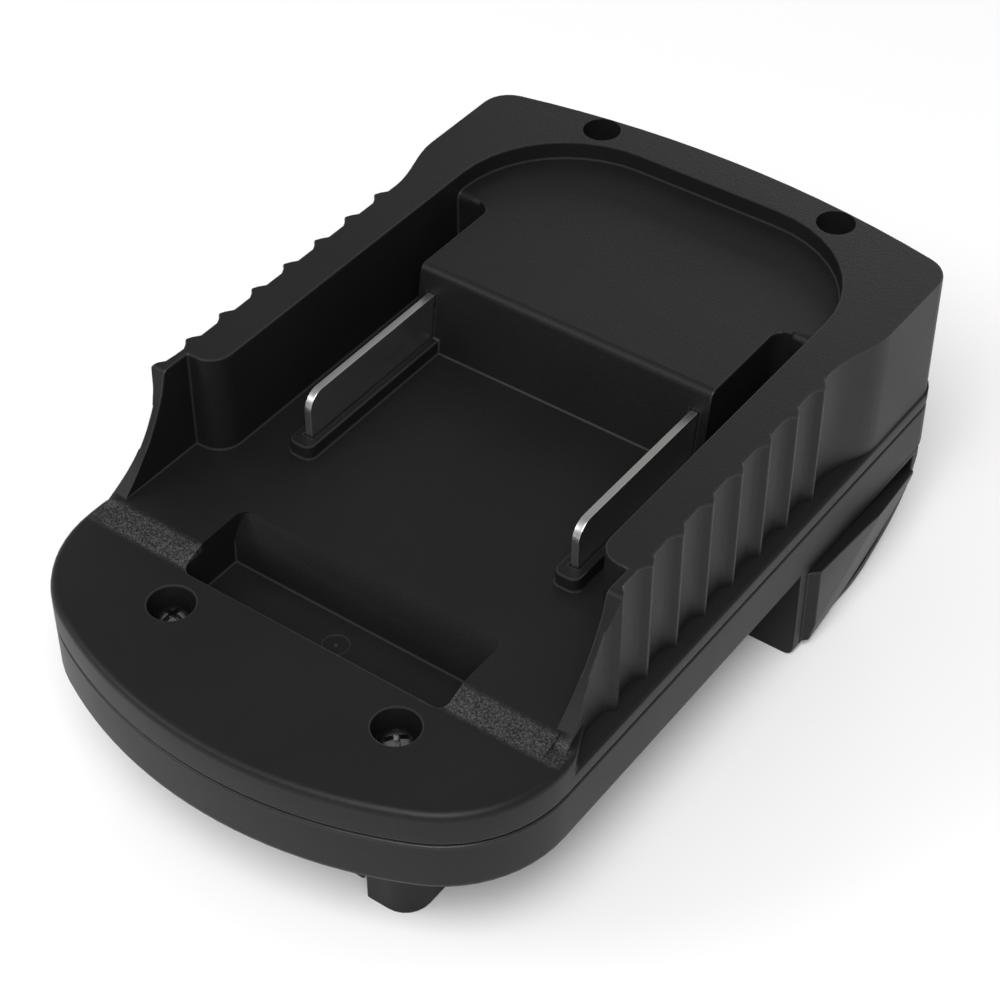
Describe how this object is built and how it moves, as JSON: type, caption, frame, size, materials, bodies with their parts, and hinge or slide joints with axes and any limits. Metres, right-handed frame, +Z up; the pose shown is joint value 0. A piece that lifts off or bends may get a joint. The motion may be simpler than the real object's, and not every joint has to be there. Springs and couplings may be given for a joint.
{
  "type": "tool battery adapter",
  "caption": "Slide-on adapter with a railed battery bay and terminal blades on top, a railed battery head with contact slots below, and sprung side release buttons",
  "frame": {"origin": "on the plane that the adapter stands on, under the middle of its box", "axes": "X is the width, Y the length with the tongue and both sliding directions at -Y, Z is up out of the battery bay"},
  "size_m": [0.0844, 0.125, 0.0471],
  "materials": {
    "shell_plastic": "fine-grained matte black moulding",
    "button_plastic": "matte black moulding",
    "insulator_plastic": "plain dark moulding",
    "blade_metal": "rolled plated sheet with a sheared bright edge",
    "clip_metal": "spring copper alloy",
    "spring_steel": "drawn spring wire",
    "case_screw_steel": "blackened steel",
    "small_screw_steel": "zinc plated steel",
    "lead_red": "silicone wire",
    "lead_black": "silicone wire",
    "sleeve_rubber": "shrink sleeve"
  },
  "bodies": {
    "housing": {"upper_shell": "shell_plastic", "lower_shell": "shell_plastic", "contact_block": "insulator_plastic", "terminal_blade_left": "blade_metal", "terminal_blade_right": "blade_metal", "blade_retainer": "insulator_plastic", "retainer_screws": "small_screw_steel", "contact_clip_left": "clip_metal", "contact_clip_right": "clip_metal", "lead_left": "lead_black", "lead_right": "lead_red", "sleeves_left": "sleeve_rubber", "sleeves_right": "sleeve_rubber", "button_spring_left": "spring_steel", "button_spring_right": "spring_steel", "spring_bracket": "insulator_plastic", "bracket_screws": "small_screw_steel", "front_screws": "case_screw_steel", "rear_screws": "case_screw_steel"},
    "left_button": {"release_button_left": "button_plastic"},
    "right_button": {"release_button_right": "button_plastic"}
  },
  "joints": [
    {"name": "left_button_press", "type": "slide", "parent": "housing", "child": "left_button", "axis": [1, 0, 0], "range_m": [0, 0.003], "stiffness_N_per_m": 800, "springref_m": -0.003, "deforming": ["button_spring_left"]},
    {"name": "right_button_press", "type": "slide", "parent": "housing", "child": "right_button", "axis": [-1, 0, 0], "range_m": [0, 0.003], "stiffness_N_per_m": 800, "springref_m": -0.003, "deforming": ["button_spring_right"]}
  ]
}
